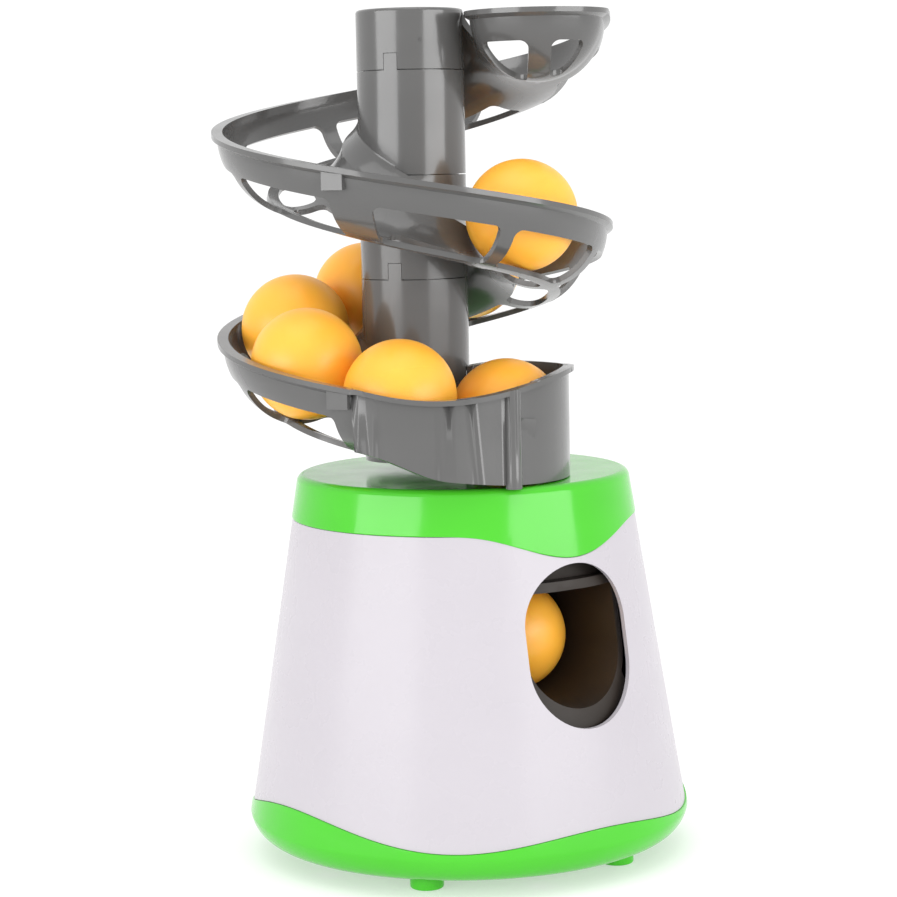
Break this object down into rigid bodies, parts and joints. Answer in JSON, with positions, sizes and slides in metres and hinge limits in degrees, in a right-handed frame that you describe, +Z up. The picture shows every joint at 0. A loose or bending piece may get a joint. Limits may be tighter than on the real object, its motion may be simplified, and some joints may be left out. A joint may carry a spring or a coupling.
{
  "type": "table tennis ball launcher",
  "caption": "Toy table-tennis ball launcher: keyed spiral ball ramp on a conical battery-powered striker housing with an oval outlet.",
  "frame": {"origin": "centre of the conical housing's base, on the floor under the feet", "axes": "+Z up, -Y is the launch direction"},
  "size_m": [0.1649, 0.1658, 0.307],
  "materials": {
    "grey_plastic": "smooth injection moulding, semi-gloss",
    "green_plastic": "smooth injection moulding, gloss",
    "white_plastic": "smooth injection moulding, gloss",
    "door_plastic": "smooth injection moulding",
    "inner_plastic": "moulded, matt",
    "gear_plastic": "acetal, satin",
    "steel": "plated",
    "spring_steel": "drawn wire",
    "magnet": "sintered ferrite",
    "winding": "enamelled copper over laminations",
    "brass": "turned",
    "pad_rubber": "moulded",
    "switch_plastic": "moulded",
    "cell_jacket": "plain printed sleeve, no lettering",
    "ball_plastic": "thin celluloid-like shell, satin"
  },
  "bodies": {
    "root": {"ramp_lower": "grey_plastic", "ramp_middle": "grey_plastic", "ramp_upper": "grey_plastic", "ramp_top": "grey_plastic", "drop_chute": "grey_plastic", "lid": "green_plastic", "base_tray": "green_plastic", "body_shell": "white_plastic", "battery_door": "door_plastic", "launch_guide": "inner_plastic", "battery_holder": "inner_plastic", "gearbox_plate_left": "inner_plastic", "gearbox_plate_right": "inner_plastic", "gearbox_spacers": "inner_plastic", "motor_end_cap": "gear_plastic", "base_screws": "steel", "door_screw": "steel", "striker_pin": "steel", "spring_anchor": "steel", "battery_contacts": "steel", "motor_can": "steel", "striker_spring": "spring_steel", "motor_magnets": "magnet", "switch_bezel": "switch_plastic", "switch_body": "switch_plastic", "battery_cells": "cell_jacket"},
    "cam": {"cam_gear": "gear_plastic", "cam_shaft": "steel"},
    "compound": {"compound_gear": "gear_plastic", "compound_shaft": "steel"},
    "rotor": {"motor_armature": "winding", "motor_shaft": "steel", "motor_pinion": "brass"},
    "striker": {"striker_arm": "gear_plastic", "striker_pad": "pad_rubber"},
    "switch": {"switch_slider": "switch_plastic"},
    "ball_seat_body": {"ball_seat": "ball_plastic"},
    "ball_stacked_body": {"ball_stacked": "ball_plastic"},
    "ball_chute_body": {"ball_chute": "ball_plastic"},
    "ball_front_body": {"ball_front": "ball_plastic"},
    "ball_left_front_body": {"ball_left_front": "ball_plastic"},
    "ball_left_back_body": {"ball_left_back": "ball_plastic"},
    "ball_back_body": {"ball_back": "ball_plastic"},
    "ball_back_right_body": {"ball_back_right": "ball_plastic"},
    "ball_rolling_body": {"ball_rolling": "ball_plastic"}
  },
  "joints": [
    {"name": "cam_spin", "type": "hinge", "parent": "root", "child": "cam", "pos_m": [0, 0.015, 0.046], "axis": [1, 0, 0], "continuous": true},
    {"name": "compound_spin", "type": "hinge", "parent": "root", "child": "compound", "pos_m": [0, 0.02898, 0.05543], "axis": [1, 0, 0], "continuous": true},
    {"name": "rotor_spin", "type": "hinge", "parent": "root", "child": "rotor", "pos_m": [0, 0.04558, 0.0525], "axis": [1, 0, 0], "continuous": true},
    {"name": "striker_swing", "type": "hinge", "parent": "root", "child": "striker", "pos_m": [0, -0.001, 0.061], "axis": [1, 0, 0], "range_deg": [0, 35], "deforming": ["striker_spring"]},
    {"name": "switch_slide", "type": "slide", "parent": "root", "child": "switch", "axis": [1, 0, 0], "range_m": [0, 0.007]},
    {"name": "ball_launch", "type": "slide", "parent": "root", "child": "ball_seat_body", "axis": [0, -1, 0], "range_m": [0, 0.085]},
    {"name": "ball_lift", "type": "slide", "parent": "root", "child": "ball_chute_body", "axis": [0, 0, 1], "range_m": [0, 0.01]},
    {"name": "ball_stacked_lift", "type": "slide", "parent": "root", "child": "ball_stacked_body", "axis": [0, 0, 1], "range_m": [0, 0.01]},
    {"name": "ball_front_roll", "type": "hinge", "parent": "root", "child": "ball_front_body", "pos_m": [-0.0112, 0.0121, 0.17122], "axis": [0.1808, -0.1686, 0.969], "range_deg": [-25, 0]},
    {"name": "ball_left_front_roll", "type": "hinge", "parent": "root", "child": "ball_left_front_body", "pos_m": [-0.0112, 0.0121, 0.18151], "axis": [-0.0112, -0.247, 0.969], "range_deg": [-25, 0]},
    {"name": "ball_left_back_roll", "type": "hinge", "parent": "root", "child": "ball_left_back_body", "pos_m": [-0.0112, 0.0121, 0.1918], "axis": [-0.1953, -0.1515, 0.969], "range_deg": [-25, 0]},
    {"name": "ball_back_roll", "type": "hinge", "parent": "root", "child": "ball_back_body", "pos_m": [-0.0112, 0.0121, 0.20209], "axis": [-0.242, 0.0506, 0.969], "range_deg": [-25, 0]},
    {"name": "ball_back_right_roll", "type": "hinge", "parent": "root", "child": "ball_back_right_body", "pos_m": [-0.0112, 0.0121, 0.21239], "axis": [-0.1183, 0.217, 0.969], "range_deg": [-25, 0]},
    {"name": "ball_rolling_roll", "type": "hinge", "parent": "root", "child": "ball_rolling_body", "pos_m": [-0.0112, 0.0121, 0.23284], "axis": [0.2323, 0.0845, 0.969], "range_deg": [-25, 40]}
  ],
  "couplings": [
    {"joint": "compound_spin", "follows": "cam_spin", "ratio": -3},
    {"joint": "rotor_spin", "follows": "cam_spin", "ratio": 9},
    {"joint": "ball_stacked_lift", "follows": "ball_lift", "ratio": 1},
    {"joint": "ball_left_front_roll", "follows": "ball_front_roll", "ratio": 1},
    {"joint": "ball_left_back_roll", "follows": "ball_front_roll", "ratio": 1},
    {"joint": "ball_back_roll", "follows": "ball_front_roll", "ratio": 1},
    {"joint": "ball_back_right_roll", "follows": "ball_front_roll", "ratio": 1}
  ]
}
